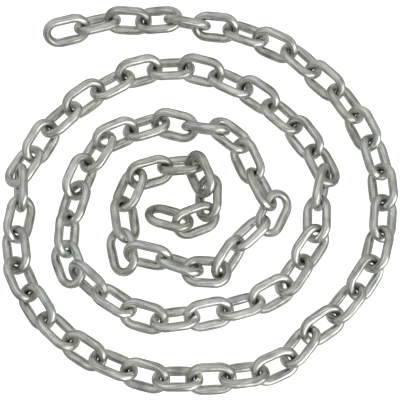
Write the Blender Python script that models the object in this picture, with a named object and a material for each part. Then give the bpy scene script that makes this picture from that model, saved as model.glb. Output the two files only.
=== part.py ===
"""A 2 m length of hot-dip galvanised short-link steel chain, laid flat in three turns.

Every link is a round bar bent into a long loop and welded shut. The chain lies slack on
a level floor, wound clockwise from its outer end, behind and to the left, to its inner
end in the middle. Units are metres, +Z is up and -Y is the front.
"""

import math

import bpy
from mathutils import Euler, Matrix, Vector
from mathutils.kdtree import KDTree

MM = 0.001

# The link: 6 mm bar with its zinc, in the short-link pattern of 24 mm pitch.
BAR = 6.2 * MM
PITCH = 24.4 * MM
WIDTH = 24.6 * MM
LINKS = 84
BAR_SIDES = 8
CROWN_STEPS = 5

# An octagonal bar has its corners a little outside the round one, for the same weight.
BAR_CORNER = 1.05

# The links of the outer turn are each a piece. The inner turns go in pairs.
SINGLE_LINKS = 36

# The least and the most gap where two links hook, how deep a pair joins, how far a raised
# link sinks in each pass, and how strongly the first passes hold the links on the route.
HOOK_GAP = 0.55 * MM
HOOK_SLACK = 0.65 * MM
PAIR_BITE = 0.35 * MM
SINK = 0.03 * MM
HOLD = 0.3
EASE_PASSES = 200

# A link leans on one bar: outward a little steeper than inward.
LEAN_OUT = 45
LEAN_IN = -38

# Links after which the leaning changes over from odd to even, most of them on edge.
CHANGES = [5, 33, 47, 57, 66, 69, 73, 75, 81]

# Where links hook into each other: the hook's number from the outer end, then X and Y
# in mm on the floor. In between, the chain follows a smooth curve.
ROUTE = [
    (0, -116, 123), (1, -92, 129), (2, -68, 135), (3, -48, 134), (4, -23, 135),
    (5, -2, 133), (6, 19, 131), (8, 67, 111), (9, 84, 95), (10, 101, 79), (12, 123, 40),
    (14, 130, -4), (16, 122, -48), (17, 109, -68), (18, 94, -86), (19, 75, -99),
    (20, 60, -118), (21, 40, -127), (23, -5, -131), (24, -30, -131), (26, -74, -116),
    (28, -110, -88), (30, -131, -49), (31, -134, -29), (32, -130, -7), (33, -131, 17),
    (34, -121, 33), (35, -111, 51), (36, -94, 67), (38, -57, 91), (40, -12, 98),
    (42, 31, 82), (44, 66, 54), (45, 79, 36), (46, 88, 17), (47, 83, -6), (48, 82, -29),
    (49, 70, -47), (50, 58, -65), (51, 38, -76), (53, -7, -87), (54, -30, -90),
    (55, -51, -84), (56, -71, -71), (57, -89, -56), (58, -97, -35), (59, -96, -15),
    (60, -90, 5), (61, -82, 25), (62, -72, 42), (63, -52, 51), (64, -31, 58), (65, -11, 53),
    (66, 13, 50), (67, 30, 36), (68, 38, 18), (69, 51, -2), (70, 43, -19), (71, 26, -35),
    (72, 13, -55), (73, -8, -54), (74, -27, -48), (75, -51, -45), (76, -55, -27),
    (77, -58, -7), (78, -49, 15), (79, -26, 22), (80, -3, 24), (81, 4, 7), (82, 3, -12),
    (83, -15, -19), (84, -33, -14),
]

# Links that lie otherwise than the rest: roll and tip in degrees, lift in mm. Tip raises
# the end towards the middle of the coil, and lift is for a link borne by its neighbours.
LYING = {
    1: (53, 0, 0), 2: (-45, 0, 0), 3: (59, -2, 0), 4: (-20, 6, 3), 5: (106, -14, 0),
    6: (51, 0, 0), 8: (51, 0, 0), 10: (50, 0, 0), 33: (108, 0, 0), 34: (-33, -2, 0),
    37: (50, 0, 0), 39: (50, 0, 0), 41: (50, 0, 0), 43: (49, 0, 0), 46: (-35, 2, 1),
    47: (106, 0, 0), 57: (-67, -1, 0), 58: (-29, -3, 0), 59: (58, -1, 0), 63: (50, 0, 0),
    66: (102, 0, 0), 67: (-34, 0, 0), 69: (-66, 0, 0), 70: (-33, 0, 0), 71: (51, 0, 0),
    72: (-63, -2, 0), 73: (18, 2, 4), 74: (61, 3, 0), 75: (-64, 2, 0), 80: (-50, 0, 0),
    81: (54, 6, 2), 82: (50, 2, 0), 84: (41, 0, 0),
}


def clear_scene():
    for obj in list(bpy.data.objects):
        bpy.data.objects.remove(obj, do_unlink=True)


def new_collection(name):
    collection = bpy.data.collections.new(name)
    bpy.context.scene.collection.children.link(collection)
    return collection


def galvanised_steel():
    material = bpy.data.materials.new("hot_dip_galvanised_steel")
    material.use_nodes = True
    shader = material.node_tree.nodes["Principled BSDF"]
    shader.inputs["Base Color"].default_value = (0.42, 0.42, 0.41, 1)
    shader.inputs["Metallic"].default_value = 1
    shader.inputs["Roughness"].default_value = 0.45
    return material


def link_loop():
    """The bar's centre line, in the link's own plane: X along the chain, Y across."""
    radius = (WIDTH - BAR) / 2
    straight = PITCH + BAR - 2 * radius
    points = []
    for side in (1, -1):
        for step in range(CROWN_STEPS + 1):
            turn = math.pi * (step / CROWN_STEPS - 0.5)
            along = straight / 2 + radius * math.cos(turn)
            points.append(Vector((side * along, side * radius * math.sin(turn), 0)))
    return points


def link_mesh(loop, material):
    """The bar swept round the loop and welded shut."""
    curve = bpy.data.curves.new("link_bar", "CURVE")
    curve.dimensions = "3D"
    curve.twist_mode = "Z_UP"
    curve.bevel_depth = BAR_CORNER * BAR / 2
    curve.bevel_resolution = BAR_SIDES // 2 - 2
    spline = curve.splines.new("POLY")
    spline.points.add(len(loop) - 1)
    for point, place in zip(spline.points, loop):
        point.co = (*place, 1)
        point.tilt = math.pi / BAR_SIDES
    spline.use_cyclic_u = True

    bar = bpy.data.objects.new("link_bar", curve)
    bpy.context.scene.collection.objects.link(bar)
    graph = bpy.context.evaluated_depsgraph_get()
    mesh = bpy.data.meshes.new_from_object(bar.evaluated_get(graph))
    bpy.data.objects.remove(bar, do_unlink=True)
    bpy.data.curves.remove(curve)

    mesh.name = "chain_link"
    mesh.materials.clear()
    mesh.materials.append(material)
    mesh.polygons.foreach_set("use_smooth", [True] * len(mesh.polygons))
    return mesh


def smooth_route():
    """The place of every hook, on a cubic through the stated ones."""
    knots = [(number, Vector((x * MM, y * MM, 0))) for number, x, y in ROUTE]

    def slope(index):
        before = max(index - 1, 0)
        after = min(index + 1, len(knots) - 1)
        span = knots[after][0] - knots[before][0]
        return (knots[after][1] - knots[before][1]) / span

    hooks = []
    for index in range(len(knots) - 1):
        start, here = knots[index]
        end, there = knots[index + 1]
        span = end - start
        for number in range(start, end):
            t = (number - start) / span
            hooks.append(
                (2 * t**3 - 3 * t**2 + 1) * here
                + (t**3 - 2 * t**2 + t) * span * slope(index)
                + (3 * t**2 - 2 * t**3) * there
                + (t**3 - t**2) * span * slope(index + 1)
            )
    hooks.append(knots[-1][1])
    return hooks


def lying(number):
    """Roll, tip and lift of a link. Each link leans the other way from the one before."""
    if number in LYING:
        roll, tip, lift = LYING[number]
        return math.radians(roll), math.radians(tip), lift * MM
    swaps = sum(number > change for change in CHANGES)
    outward = (number + swaps) % 2 == 1
    return math.radians(LEAN_OUT if outward else LEAN_IN), 0, 0


def link_matrix(number, hooks):
    """Where a link lies before easing: between its two hooks, leaning as it should."""
    rear, front = hooks[number - 1], hooks[number]
    roll, tip, lift = lying(number)
    way = front - rear
    turn = Euler((roll, -tip, math.atan2(way.y, way.x))).to_matrix().to_4x4()
    middle = (rear + front) / 2 + Vector((0, 0, lift))
    return Matrix.Translation(middle) @ turn


def height_on_floor(matrix, corners):
    """How high a link's middle is when its lowest corner is on the floor."""
    turn = matrix.to_3x3()
    return -min((turn @ corner).z for corner in corners)


def finer(loop, steps=8):
    """The loop with more points on each side."""
    points = []
    for here, there in zip(loop, loop[1:] + loop[:1]):
        for step in range(steps):
            points.append(here.lerp(there, step / steps))
    return points


def shortest_line(first, second):
    """The shortest line from one link's centre line to the other's, from their dots."""
    tree = KDTree(len(first))
    for index, dot in enumerate(first):
        tree.insert(dot, index)
    tree.balance()
    lines = [(tree.find(dot), dot) for dot in second]
    (near, _, _), far = min(lines, key=lambda line: line[0][2])
    return far - near


def paired(number):
    """Whether this link and the next are one piece."""
    return number > SINGLE_LINKS and (number - SINGLE_LINKS) % 2 == 1


def ease(places, loop, corners):
    """Moves neighbours until each hangs clear of the next, and each pair just bites."""
    dots = finer(loop)
    floor = [height_on_floor(place, corners) for place in places]
    for place, height in zip(places, floor):
        place.translation.z += height
    homes = [place.to_translation() for place in places]
    for step in range(EASE_PASSES):
        hold = HOLD * max(0, 1 - 2 * step / EASE_PASSES)
        for place, home in zip(places, homes):
            place.translation += hold * (home - place.to_translation())
        for index in range(LINKS - 1):
            here, there = places[index], places[index + 1]
            line = shortest_line([here @ dot for dot in dots], [there @ dot for dot in dots])
            gap = line.length - BAR
            wanted = min(max(gap, HOOK_GAP), HOOK_SLACK)
            if paired(index + 1):
                wanted = -PAIR_BITE
            shift = line.normalized() * (wanted - gap) / 2
            here.translation -= shift
            there.translation += shift
        for place, home, height in zip(places, homes, floor):
            home.z = max(home.z - SINK, height)
            place.translation.z = max(place.translation.z - SINK, height)


def centred(matrices, corners):
    """The same places, with the middle of the whole over the origin."""
    spots = [matrix @ corner for matrix in matrices for corner in corners]
    middle = Vector((0, 0, 0))
    for axis in (0, 1):
        values = [spot[axis] for spot in spots]
        middle[axis] = (min(values) + max(values)) / 2
    return [Matrix.Translation(-middle) @ matrix for matrix in matrices]


def place_link(name, mesh, matrix, parent, collection):
    obj = bpy.data.objects.new(name, mesh)
    collection.objects.link(obj)
    obj.parent = parent
    obj.location = matrix.to_translation()
    obj.rotation_euler = matrix.to_euler()
    return obj


def build():
    clear_scene()
    chain = new_collection("steel_chain")
    joined = new_collection("joined_links")

    loop = link_loop()
    mesh = link_mesh(loop, galvanised_steel())
    corners = [vertex.co for vertex in mesh.vertices]

    hooks = smooth_route()
    places = [link_matrix(number, hooks) for number in range(1, LINKS + 1)]
    ease(places, loop, corners)
    places = centred(places, corners)

    base = bpy.data.objects.new("chain_on_floor", None)
    chain.objects.link(base)

    number = 1
    while number <= LINKS:
        if not paired(number):
            place_link(f"link_{number:02d}", mesh, places[number - 1], base, chain)
            number += 1
            continue
        name = f"links_{number:02d}_{number + 1:02d}"
        pair = place_link(name, mesh, places[number - 1], base, chain)
        other = place_link(
            f"second_of_{name}", mesh, places[number], base, joined
        )
        other.hide_render = True
        other.hide_set(True)
        union = pair.modifiers.new("hooked_together", "BOOLEAN")
        union.operation = "UNION"
        union.solver = "EXACT"
        union.object = other
        number += 2


build()
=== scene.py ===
# %% [markdown]
# A length of galvanised chain, laid in a spiral
#
# This lesson dresses the CAD model of a 2 m length of short-link chain. The model knows
# where each of the 84 links lies, but its bars are eight-sided. Here every link is swept
# again as a round bar with a weld, and coated with zinc. The chain then lies on a pale
# floor in soft light, seen from above as in the photo.

# %% Load the model
import math

import bpy
import numpy as np
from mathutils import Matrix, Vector, noise


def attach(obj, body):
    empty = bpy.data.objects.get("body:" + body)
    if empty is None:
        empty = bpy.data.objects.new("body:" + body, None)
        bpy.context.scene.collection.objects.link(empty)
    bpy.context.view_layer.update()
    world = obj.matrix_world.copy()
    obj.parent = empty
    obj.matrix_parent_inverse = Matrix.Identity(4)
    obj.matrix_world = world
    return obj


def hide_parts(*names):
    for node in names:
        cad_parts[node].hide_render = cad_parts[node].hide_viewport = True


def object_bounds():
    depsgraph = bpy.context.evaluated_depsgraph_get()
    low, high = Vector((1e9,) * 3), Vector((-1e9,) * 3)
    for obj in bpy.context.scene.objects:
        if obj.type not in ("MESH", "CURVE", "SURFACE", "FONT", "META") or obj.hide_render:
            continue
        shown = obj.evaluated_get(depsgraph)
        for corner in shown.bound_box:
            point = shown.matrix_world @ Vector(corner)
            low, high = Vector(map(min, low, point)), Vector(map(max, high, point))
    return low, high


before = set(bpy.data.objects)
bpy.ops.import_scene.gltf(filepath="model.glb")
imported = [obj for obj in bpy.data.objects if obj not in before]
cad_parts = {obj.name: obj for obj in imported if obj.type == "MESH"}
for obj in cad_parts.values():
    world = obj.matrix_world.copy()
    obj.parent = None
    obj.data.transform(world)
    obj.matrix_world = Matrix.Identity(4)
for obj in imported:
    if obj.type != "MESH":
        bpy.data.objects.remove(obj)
cad_low, cad_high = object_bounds()
MM = 0.001
print("pieces in the model:", len(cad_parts))
print("coil in mm:", [round(size / MM, 1) for size in cad_high - cad_low])

# %% [markdown]
# The driving dimensions
#
# The chain is the usual short-link pattern for 6 mm bar, which a thick coat of zinc makes
# a little stouter. A link is a straight-sided loop with half-round crowns. An outline
# could be drawn for it, but three sizes give its whole shape, so only those are kept.
# Three more numbers say how finely the bar is swept.

# %% The link's sizes
BAR = 6.5 * MM
LENGTH = 36.2 * MM
WIDTH = 24.3 * MM
RADIUS = (WIDTH - BAR) / 2
STRAIGHT = LENGTH - WIDTH
LOOP = 2 * STRAIGHT + 2 * math.pi * RADIUS

SIDES = 24
CROWN_STEPS = 20
STRAIGHT_STEPS = 10
print("centre line of a link in mm:", round(LOOP / MM, 1))

# %% [markdown]
# Where each link lies
#
# In the real coil every link leans its own way. The 84 places could be typed in as a
# list, but the model holds them already, so they are read from it. Its only long facets
# are those of the straight sides. They all run along the link, so their normals give its
# direction. Their middles lie on both sides of the link's centre, which gives the rest.
# A piece of two links is first cut in two across its length.

# %% Read the long facets of a piece
# Nearly all facets of the straight sides are longer, and those of the crowns are shorter.
LONG_FACET = 9.5 * MM


def link_numbers(name):
    """The numbers of the links in a piece, from its name."""
    return [int(word) for word in name.split("_") if word.isdigit()]


def long_facets(node):
    """Middles, normals and weights of the facets of a piece's straight sides."""
    mesh = node.data
    place = np.array(node.matrix_world)
    corners = np.empty(len(mesh.vertices) * 3)
    mesh.vertices.foreach_get("co", corners)
    corners = corners.reshape(-1, 3) @ place[:3, :3].T + place[:3, 3]
    mesh.calc_loop_triangles()
    facets = np.empty(len(mesh.loop_triangles) * 3, dtype=int)
    mesh.loop_triangles.foreach_get("vertices", facets)
    corners = corners[facets.reshape(-1, 3)]
    edges = np.roll(corners, -1, axis=1) - corners
    long = np.linalg.norm(edges, axis=2).max(axis=1) > LONG_FACET
    cross = np.cross(edges[long, 0], edges[long, 1])
    weights = np.linalg.norm(cross, axis=1)
    return corners[long].mean(axis=1), cross / weights[:, None], weights


print("pieces of two links:", sum(len(link_numbers(name)) == 2 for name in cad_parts))

# %% Work out the place of every link


def main_axes(vectors, weights):
    """The directions in which a cloud of vectors spreads least and most."""
    spread = (vectors * weights[:, None]).T @ vectors
    directions = np.linalg.eigh(spread)[1]
    return directions[:, 0], directions[:, 2]


def place_of_link(middles, normals, weights):
    """Centre, direction along, direction across and normal of one link."""
    centre = np.average(middles, axis=0, weights=weights)
    along = main_axes(normals, weights)[0]
    across = main_axes(middles - centre, weights)[1]
    across -= along * (along @ across)
    across /= np.linalg.norm(across)
    return centre, along, across, np.cross(along, across)


def places_in(node, count):
    """The places of the one or two links in a piece of the model."""
    middles, normals, weights = long_facets(node)
    if count == 1:
        return [place_of_link(middles, normals, weights)]
    centre = np.average(middles, axis=0, weights=weights)
    length = main_axes(middles - centre, weights)[1]
    first = (middles - centre) @ length < 0
    halves = (first, ~first)
    return [place_of_link(middles[half], normals[half], weights[half]) for half in halves]


pieces = {}
for name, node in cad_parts.items():
    pieces[name] = places_in(node, len(link_numbers(name)))
print("links found:", sum(len(places) for places in pieces.values()))

# %% [markdown]
# The shape of a link
#
# The bar is bent cold and its ends are pressed together and welded in the middle of one
# straight side, which swells there. Bending draws the bar thinner in the crowns, and zinc
# gathers a little here and there. A curve with a round bevel would give an even bar. Here
# rings of corners are set round the loop one by one, so that the bar can swell and thin
# on its way. The welds are taken to be on the lower bars, because those look stouter in
# the photo.

# %% The line that the bar follows


def stations():
    """Points and outward directions round the loop, from one end of the welded side."""
    half = []
    for step in range(STRAIGHT_STEPS + 1):
        along = STRAIGHT * (step / STRAIGHT_STEPS - 0.5)
        half.append((along, -RADIUS, 0.0, -1.0))
    for step in range(1, CROWN_STEPS):
        turn = math.pi * (step / CROWN_STEPS - 0.5)
        out = (math.cos(turn), math.sin(turn))
        half.append((STRAIGHT / 2 + RADIUS * out[0], RADIUS * out[1], *out))
    half = np.array(half)
    # The other side and crown are the same, turned round the link's centre.
    return np.concatenate([half, -half])


ROWS = stations()
RINGS = len(ROWS)
print("rings of corners in a link:", RINGS)

# %% How thick the bar is
WELD_WIDE = 7 * MM
WELD_HIGH = 0.22 * MM
THINNED = 0.16 * MM

# Zinc gathers in patches, which change round the bar and from one link to the next.
GATHERED = 0.04 * MM
PATCH = 7 * MM
PATCH_ROUND = 0.4
PATCH_NEXT = 3.1


def thickness(number, row, turn):
    """Radius of the bar at a station and an angle round it."""
    x, y = ROWS[row, 0], ROWS[row, 1]
    spot = Vector((x, y, 0)) / PATCH + Vector((0, 0, math.sin(turn) * PATCH_ROUND))
    swell = noise.noise(spot + Vector((PATCH_NEXT * number, 0, 0)))
    bent = max(0, abs(x) - STRAIGHT / 2) / RADIUS
    radius = BAR / 2 + GATHERED * swell - THINNED * bent
    if y < 0:
        radius += WELD_HIGH * math.exp(-((x / WELD_WIDE) ** 2))
    return radius


print("bar at a weld in mm:", round(2 * thickness(1, STRAIGHT_STEPS // 2, 0) / MM, 2))

# %% Sweep the bar round a link


def sweep(number, centre, along, across, normal):
    """Corners of one link in the coil's own place, with the weld on the lower bar."""
    if across[2] < 0:
        across, normal = -across, -normal
    corners = []
    for row in range(RINGS):
        x, y, out_x, out_y = ROWS[row]
        point = centre + along * x + across * y
        out = along * out_x + across * out_y
        for side in range(SIDES):
            turn = 2 * math.pi * side / SIDES
            radius = thickness(number, row, turn)
            arm = out * math.cos(turn) + normal * math.sin(turn)
            corners.append(point + arm * radius)
    return np.array(corners)


def faces_from(first):
    """Quads of one link, and where each of their corners is along and round the bar."""
    quads, marks = [], []
    for row in range(RINGS):
        for side in range(SIDES):
            here = first + row * SIDES
            there = first + (row + 1) % RINGS * SIDES
            other = (side + 1) % SIDES
            quads.append((here + side, here + other, there + other, there + side))
            low, high = side / SIDES, (side + 1) / SIDES
            start, end = row / RINGS, (row + 1) / RINGS
            marks += [(start, low), (start, high), (end, high), (end, low)]
    return quads, marks


print("triangles of a link:", RINGS * SIDES * 2)

# %% [markdown]
# One piece for every piece of the model
#
# The model has a piece for each link of the outer turn, and one for each pair of links
# further in. All links could be one mesh, but a piece for each of the model's keeps them
# easy to find. The dressed bars are a little stouter, so they are flattened where they
# would reach below the floor or past the model's box. A UV map says where each corner is
# along and round the bar, for the lines in the zinc.

# %% Make the pieces


def build_piece(name, places):
    """One dressed piece, in the place of one piece of the model."""
    corners, quads, marks = [], [], []
    for number, (centre, along, across, normal) in zip(link_numbers(name), places):
        more, marked = faces_from(len(corners) * RINGS * SIDES)
        corners.append(sweep(number, centre, along, across, normal))
        quads += more
        marks += marked
    corners = np.clip(np.concatenate(corners), cad_low, cad_high)
    mesh = bpy.data.meshes.new("round_" + name)
    mesh.from_pydata(corners.tolist(), [], quads)
    layer = mesh.uv_layers.new(name="along_and_round")
    layer.data.foreach_set("uv", [value for mark in marks for value in mark])
    mesh.polygons.foreach_set("use_smooth", [True] * len(quads))
    mesh.update()
    piece = bpy.data.objects.new("chain_" + name, mesh)
    bpy.context.scene.collection.objects.link(piece)
    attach(piece, "root")
    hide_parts(name)
    return piece


chain = [build_piece(name, places) for name, places in pieces.items()]
print("pieces made:", len(chain))

# %% [markdown]
# The zinc
#
# The real surface is hot-dip galvanised steel. The chain is dipped in molten zinc, which
# sets to a metal coat and dulls within weeks to a satin grey. The eye sees soft clouds,
# fine lines along the drawn bar and a darker weld. The insides of the crowns, where the
# next link sits, get painted shade. A picture of zinc would repeat itself and show a seam
# on each link.
# Patterns that are worked out from a point's place don't, so the coat is made of those.

# %% Helpers for the surface


def linear(code):
    """A colour given as sRGB hex, turned linear."""
    parts = [int(code[i:i + 2], 16) / 255 for i in (1, 3, 5)]
    low = [part / 12.92 for part in parts]
    high = [((part + 0.055) / 1.055) ** 2.4 for part in parts]
    return (*[a if p <= 0.04045 else b for p, a, b in zip(parts, low, high)], 1)


def add(tree, kind, settings=None, stops=(), **links):
    """Adds a node with its settings, a ramp's stops and its links. An input goes by its
    name, or by its place as a number in the settings and as _0, _1 or _2 in the links.
    A stop is a position and a colour."""
    node = tree.nodes.new(kind)
    for key, value in (settings or {}).items():
        if isinstance(key, int) or key in node.inputs:
            node.inputs[key].default_value = value
        else:
            setattr(node, key, value)
    if stops:
        elements = node.color_ramp.elements
        while len(elements) < len(stops):
            elements.new(0.5)
        for element, (position, code) in zip(elements, stops):
            element.position = position
            element.color = linear(code)
    for key, source in links.items():
        place = int(key[1:]) if key[1:].isdigit() else key.replace("_", " ")
        tree.links.new(source, node.inputs[place])
    return node


print("#808080 turned linear:", round(linear("#808080")[0], 3))

# %% [markdown]
# Places along and round the bar
#
# The drawing lines follow the bar, also round the crowns. Noise on the flat UV map would
# show a seam where the bar closes. So the way round the bar is bent to a circle, in line
# widths, and the place in the coil is added to it, in line lengths. The noise is then
# stretched along the bar and closes round it. The same map tells where the crowns and
# the weld are.

# %% Coordinates for the drawing lines
# Real drawing lines are finer than this. They are as wide as they have to be to show.
LINE_WIDE = 1.1 * MM
LINE_LONG = 12 * MM


def along_the_bar(tree, place):
    """Coordinates for lines that run along the bar and close round it, how far round
    the loop a point is, from 0 to 1, and how far it faces outward, from -1 to 1."""
    parts = add(tree, "ShaderNodeSeparateXYZ", Vector=place.outputs["UV"])
    turn = add(
        tree, "ShaderNodeMath", {"operation": "MULTIPLY", 1: 2 * math.pi},
        _0=parts.outputs["Y"],
    )
    outward = add(tree, "ShaderNodeMath", {"operation": "COSINE"}, _0=turn.outputs[0])
    upward = add(tree, "ShaderNodeMath", {"operation": "SINE"}, _0=turn.outputs[0])
    circle = add(
        tree, "ShaderNodeCombineXYZ", X=outward.outputs[0], Y=upward.outputs[0],
    )
    ring = add(
        tree, "ShaderNodeVectorMath",
        {"operation": "SCALE", "Scale": BAR / 2 / LINE_WIDE},
        Vector=circle.outputs["Vector"],
    )
    spot = add(
        tree, "ShaderNodeVectorMath",
        {"operation": "MULTIPLY_ADD", 1: (1 / LINE_LONG,) * 3},
        _0=place.outputs["Object"], _2=ring.outputs["Vector"],
    )
    return spot.outputs["Vector"], parts.outputs["X"], outward.outputs[0]


print("lines round the bar:", round(math.pi * BAR / LINE_WIDE))

# %% Where the weld and the crowns are
# The welded side starts at 0, so the weld's place is also half that side's length.
WELD_PLACE = STRAIGHT_STEPS / 2 / RINGS
CROWN_PLACE = (STRAIGHT_STEPS + CROWN_STEPS / 2) / RINGS


def crown_shade_mask(tree, along, outward):
    """One on the inside of the crowns, where the next link sits and shade is painted, and
    nothing elsewhere.
    """
    # Round the loop, the cosine has two peaks, in the middle of the crowns.
    turn = add(
        tree, "ShaderNodeMath",
        {"operation": "MULTIPLY_ADD", 1: 4 * math.pi, 2: -4 * math.pi * CROWN_PLACE},
        _0=along,
    )
    wave = add(tree, "ShaderNodeMath", {"operation": "COSINE"}, _0=turn.outputs[0])
    crown = add(tree, "ShaderNodeMapRange", {"From Max": 0.9}, Value=wave.outputs[0])
    inside = add(
        tree, "ShaderNodeMapRange", {"From Min": 0.2, "From Max": -0.8}, Value=outward,
    )
    both = add(
        tree, "ShaderNodeMath", {"operation": "MULTIPLY"},
        _0=crown.outputs["Result"], _1=inside.outputs["Result"],
    )
    return both.outputs["Value"]


def near_weld(tree, along):
    """One in the middle of the welded side, and nothing from its ends on."""
    offset = add(
        tree, "ShaderNodeMath", {"operation": "SUBTRACT", 1: WELD_PLACE}, _0=along,
    )
    far = add(tree, "ShaderNodeMath", {"operation": "ABSOLUTE"}, _0=offset.outputs[0])
    near = add(
        tree, "ShaderNodeMapRange",
        {
            "From Min": 0.2 * WELD_PLACE, "From Max": WELD_PLACE,
            "To Min": 1.0, "To Max": 0.0,
        },
        Value=far.outputs[0],
    )
    return near.outputs["Result"]


print("weld and crown round the loop:", round(WELD_PLACE, 3), round(CROWN_PLACE, 3))

# %% The colour of the coat
CLOUD = 9 * MM
DRIFT = 28 * MM

# The unevenness of the dip goes by how far a point lies from the chain's inner end.
INNER_END = (-14 * MM, -9 * MM, 8 * MM)
OUTER_TURN = 110 * MM


def coat_colour(tree, place):
    """Clouds in the zinc, its cast and the uneven dip, multiplied together."""
    clouds = add(
        tree, "ShaderNodeTexNoise", {"Scale": 1 / CLOUD, "Detail": 4.0},
        Vector=place.outputs["Object"],
    )
    tone = add(
        tree, "ShaderNodeValToRGB", Fac=clouds.outputs["Fac"],
        stops=((0.34, "#D4D4D2"), (0.5, "#F1F1EF"), (0.68, "#FEFEFD")),
    )

    # The cast drifts from green to grey to mauve every few links.
    drift = add(
        tree, "ShaderNodeTexNoise", {"Scale": 1 / DRIFT, "Detail": 1.0},
        Vector=place.outputs["Object"],
    )
    cast = add(
        tree, "ShaderNodeValToRGB", Fac=drift.outputs["Fac"],
        stops=((0.32, "#F8FEFA"), (0.43, "#FDFFFB"), (0.56, "#FEFFF9"), (0.7, "#FEFDFF")),
    )
    zinc = add(
        tree, "ShaderNodeVectorMath", {"operation": "MULTIPLY"},
        _0=tone.outputs["Color"], _1=cast.outputs["Color"],
    )

    # The dip wasn't even: the middle turn is paler, and the inner end darker and warmer.
    reach = add(
        tree, "ShaderNodeVectorMath", {"operation": "DISTANCE", 1: INNER_END},
        _0=place.outputs["Object"],
    )
    turns = add(
        tree, "ShaderNodeMapRange", {"From Max": OUTER_TURN},
        Value=reach.outputs["Value"],
    )
    dip = add(
        tree, "ShaderNodeValToRGB", Fac=turns.outputs["Result"],
        stops=(
            (0.32, "#EEEEEB"), (0.4, "#F7F7F6"), (0.56, "#F7F7F6"),
            (0.63, "#FFFFFF"), (0.87, "#FFFFFF"), (0.95, "#F4F4F3"),
        ),
    )
    coat = add(
        tree, "ShaderNodeVectorMath", {"operation": "MULTIPLY"},
        _0=zinc.outputs["Vector"], _1=dip.outputs["Color"],
    )
    return coat.outputs["Vector"]


print("clouds along a link:", round(LENGTH / CLOUD))

# %% The shade of lines, the weld and the painted crown shade
DARK_LINE = 0.57
PALE_LINE = 1.13
WELD_SHADE = 0.86
# How dark the painted shade inside the crowns is, where the next link sits.
CROWN_PAINTED_SHADE = 0.72


def lines_weld_and_crown_shade(tree, place):
    """The height of the drawing lines, how dark they and the weld are, and painted crown
    shade.
    """
    spot, along, outward = along_the_bar(tree, place)
    lines = add(tree, "ShaderNodeTexNoise", {"Scale": 1.0, "Detail": 2.0}, Vector=spot)
    streak = add(
        tree, "ShaderNodeMapRange",
        {"From Min": 0.34, "From Max": 0.66, "To Min": DARK_LINE, "To Max": PALE_LINE},
        Value=lines.outputs["Fac"],
    )
    dulled = add(
        tree, "ShaderNodeMapRange", {"To Min": 1.0, "To Max": WELD_SHADE},
        Value=near_weld(tree, along),
    )
    # Painted shade: the insides of the crowns, where the next link sits, are darkened.
    painted_crown_shade = add(
        tree, "ShaderNodeMapRange", {"To Min": 1.0, "To Max": CROWN_PAINTED_SHADE},
        Value=crown_shade_mask(tree, along, outward),
    )
    # The weld's own darker tone, times the painted shade inside the crowns.
    weld_tone_and_crown_shade = add(
        tree, "ShaderNodeMath", {"operation": "MULTIPLY"},
        _0=painted_crown_shade.outputs["Result"], _1=dulled.outputs["Result"],
    )
    shade = add(
        tree, "ShaderNodeMath", {"operation": "MULTIPLY"},
        _0=streak.outputs["Result"], _1=weld_tone_and_crown_shade.outputs["Value"],
    )
    return lines.outputs["Fac"], shade.outputs["Value"]


print("shades of weld and crown:", WELD_SHADE, CROWN_PAINTED_SHADE)

# %% Hot-dip galvanised steel
# The zinc's grain is finer too, and is drawn at about the size of a pixel.
GRAIN = 0.5 * MM
GRAIN_SHARE = 0.25
RELIEF = 0.22 * MM


def galvanised_steel():
    """Satin grey metal: cloudy, finely lined and grained, so its shine is never even."""
    material = bpy.data.materials.new("hot_dip_galvanised_steel")
    material.use_nodes = True
    tree = material.node_tree
    shader = tree.nodes["Principled BSDF"]
    shader.inputs["Metallic"].default_value = 1.0

    place = add(tree, "ShaderNodeTexCoord")
    lines, shade = lines_weld_and_crown_shade(tree, place)
    grey = add(
        tree, "ShaderNodeVectorMath", {"operation": "SCALE"},
        Vector=coat_colour(tree, place), Scale=shade,
    )
    tree.links.new(grey.outputs["Vector"], shader.inputs["Base Color"])

    # The grain dulls the shine unevenly and roughens the lines.
    grain = add(
        tree, "ShaderNodeTexNoise", {"Scale": 1 / GRAIN, "Detail": 2.0},
        Vector=place.outputs["Object"],
    )
    dull = add(
        tree, "ShaderNodeMapRange", {"To Min": 0.18, "To Max": 0.34},
        Value=grain.outputs["Fac"],
    )
    tree.links.new(dull.outputs["Result"], shader.inputs["Roughness"])
    relief = add(
        tree, "ShaderNodeMath", {"operation": "MULTIPLY_ADD", 1: GRAIN_SHARE},
        _0=grain.outputs["Fac"], _2=lines,
    )
    bump = add(
        tree, "ShaderNodeBump", {"Strength": 0.5, "Distance": RELIEF},
        Height=relief.outputs["Value"],
    )
    tree.links.new(bump.outputs["Normal"], shader.inputs["Normal"])
    return material


surface = galvanised_steel()
for piece in chain:
    piece.data.materials.append(surface)
print("surface:", surface.name)

# %% [markdown]
# The floor
#
# The photo's ground is a white sheet without any shadow, as if it were lit through on a
# light table. A sheet that only took light from above would turn grey and show shadows.
# So this one glows until it is as plainly white as the photo's. The chain doesn't mirror
# it, because the room gives the bars their light from below, and that can then be set on
# its own.

# %% White paper
WHITE = 0.9
FLOOR_WIDE = 8000 * MM
FLOOR_GAP = 0.05 * MM

# Real fibre is finer. This one is faint, and in this light the sheet looks even.
FIBRE = 2.5 * MM


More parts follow.
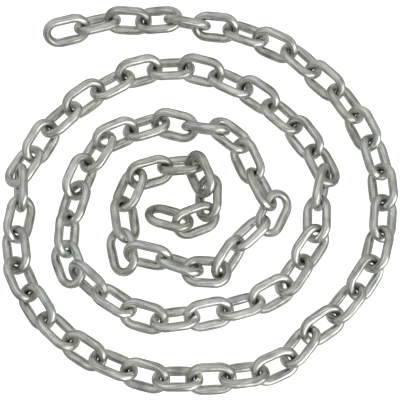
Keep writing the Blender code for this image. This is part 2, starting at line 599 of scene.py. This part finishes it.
def pale_floor():
    """Matt white paper with a faint fibre and a glow of its own."""
    material = bpy.data.materials.new("white_sheet")
    material.use_nodes = True
    tree = material.node_tree
    place = add(tree, "ShaderNodeTexCoord")
    fibre = add(
        tree, "ShaderNodeTexNoise", {"Scale": 1 / FIBRE, "Detail": 2.0},
        Vector=place.outputs["Object"],
    )
    tone = add(
        tree, "ShaderNodeValToRGB", Fac=fibre.outputs["Fac"],
        stops=((0.0, "#FBFBF8"), (1.0, "#FEFEFC")),
    )
    shader = tree.nodes["Principled BSDF"]
    tree.links.new(tone.outputs["Color"], shader.inputs["Base Color"])
    tree.links.new(tone.outputs["Color"], shader.inputs["Emission Color"])
    shader.inputs["Emission Strength"].default_value = WHITE
    shader.inputs["Roughness"].default_value = 0.9
    return material


bpy.ops.mesh.primitive_plane_add(
    size=FLOOR_WIDE, location=(0, 0, cad_low.z - FLOOR_GAP),
)
floor = bpy.context.object
floor.name = "white_floor"
floor.data.materials.append(pale_floor())
floor.visible_glossy = False
floor.visible_shadow = False
print("floor in m:", FLOOR_WIDE)

# %% [markdown]
# The window
#
# A round bar shows a light as a band along it. In the photo there is one broad white band
# with soft edges, on the sides that face the front right. A small lamp would draw a thin
# hard line, so one wide, low window stands there.

# %% The window
WINDOW = {
    "wide": 1.4, "high": 0.85, "bearing": 44, "height": 18, "distance": 1.0, "power": 5.0,
}


def window_light(wide, high, bearing, height, distance, power):
    """A soft rectangle that faces the coil. Its bearing, from the front toward the right,
    and its height are in degrees."""
    turn, lift = math.radians(bearing), math.radians(height)
    way = Vector((
        math.cos(lift) * math.sin(turn),
        -math.cos(lift) * math.cos(turn),
        math.sin(lift),
    ))
    light = bpy.data.lights.new("window", "AREA")
    light.energy = power
    light.shape = "RECTANGLE"
    light.size, light.size_y = wide, high
    lamp = bpy.data.objects.new("window", light)
    bpy.context.scene.collection.objects.link(lamp)
    lamp.location = way * distance
    lamp.rotation_euler = (-way).to_track_quat("-Z", "Y").to_euler()
    return lamp


window_light(**WINDOW)
print("window in m:", WINDOW["wide"], "by", WINDOW["high"])

# %% [markdown]
# The room
#
# Where a bar doesn't show the window it shows the room. The room is lighter overhead than
# round the sides, and that is why the flanks of a zinc-coated bar look darker than its
# top. Its back wall is paler than its front wall. The white floor carries a dull image of
# the window, to the front right, so the bars' lower edges on that side are less grey than
# the others. Walls and lamps could be built for all this. A world that is lit by
# direction alone takes one number for each, so it is easier to match.

# %% The light of the room
BACK_WALL = (-0.26, 0.97, 0)
WINDOW_IN_FLOOR = (0.63, -0.65, -0.42)

bpy.context.scene.view_settings.view_transform = "Standard"
world = bpy.data.worlds.new("grey_room")
bpy.context.scene.world = world
world.use_nodes = True
tree = world.node_tree
direction = add(tree, "ShaderNodeTexCoord")
parts = add(tree, "ShaderNodeSeparateXYZ", Vector=direction.outputs["Generated"])
level = add(
    tree, "ShaderNodeMapRange", {"From Min": -1.0, "From Max": 1.0},
    Value=parts.outputs["Z"],
)

# The stops go from below, past the walls at 0.5, to overhead at 1.
room = add(
    tree, "ShaderNodeValToRGB", Fac=level.outputs["Result"],
    stops=(
        (0.3, "#AFAFAE"), (0.5, "#979796"), (0.65, "#A3A3A2"), (0.8, "#B8B8B7"),
        (1.0, "#D3D3D2"),
    ),
)


def toward(way, least, most):
    """Light by how far a direction lies toward a way, each end given as (lean, light)."""
    lean = add(
        tree, "ShaderNodeVectorMath", {"operation": "DOT_PRODUCT", 1: way},
        _0=direction.outputs["Generated"],
    )
    glow = add(
        tree, "ShaderNodeMapRange",
        {"From Min": least[0], "To Min": least[1], "From Max": most[0], "To Max": most[1]},
        Value=lean.outputs["Value"],
    )
    return glow.outputs["Result"]


# The front wall is a little darker, and the back wall paler. The window's image ends
# about 39 degrees from its middle.
walls = toward(BACK_WALL, (-1, -0.05), (1, 0.12))
glare = toward(WINDOW_IN_FLOOR, (0.78, 0), (0.97, 0.06))
both = add(tree, "ShaderNodeMath", {"operation": "ADD"}, _0=walls, _1=glare)
light = add(
    tree, "ShaderNodeVectorMath", {"operation": "ADD"},
    _0=room.outputs["Color"], _1=both.outputs["Value"],
)
tree.links.new(light.outputs["Vector"], tree.nodes["Background"].inputs["Color"])
print("room:", world.name)

# %% [markdown]
# The camera
#
# The photo was taken from almost overhead. Its camera was found from the links: about 75
# degrees above the floor and 1 m away, where most of their outlines fit to about a pixel.
# A lens could be guessed, but near links would then look larger or smaller against far
# ones than they do in the photo. So it is worked out from lengths in the photo's pixels.

# %% The camera
AIM = Vector((0, -2.75, 0)) * MM
ELEVATION = math.radians(75)

PHOTO_WIDTH = 400
FOCAL_LENGTH = 1365
PIXELS_PER_MM = 1.388
SENSOR = 36
DISTANCE = FOCAL_LENGTH / PIXELS_PER_MM * MM

lens = bpy.data.cameras.new("camera")
lens.sensor_width = SENSOR
lens.lens = SENSOR * FOCAL_LENGTH / PHOTO_WIDTH
camera = bpy.data.objects.new("camera", lens)
bpy.context.scene.collection.objects.link(camera)
away = Vector((0, -math.cos(ELEVATION), math.sin(ELEVATION)))
camera.location = AIM + away * DISTANCE
camera.rotation_euler = (math.pi / 2 - ELEVATION, 0, 0)
bpy.context.scene.camera = camera
print("camera height in mm:", round(camera.location.z / MM))
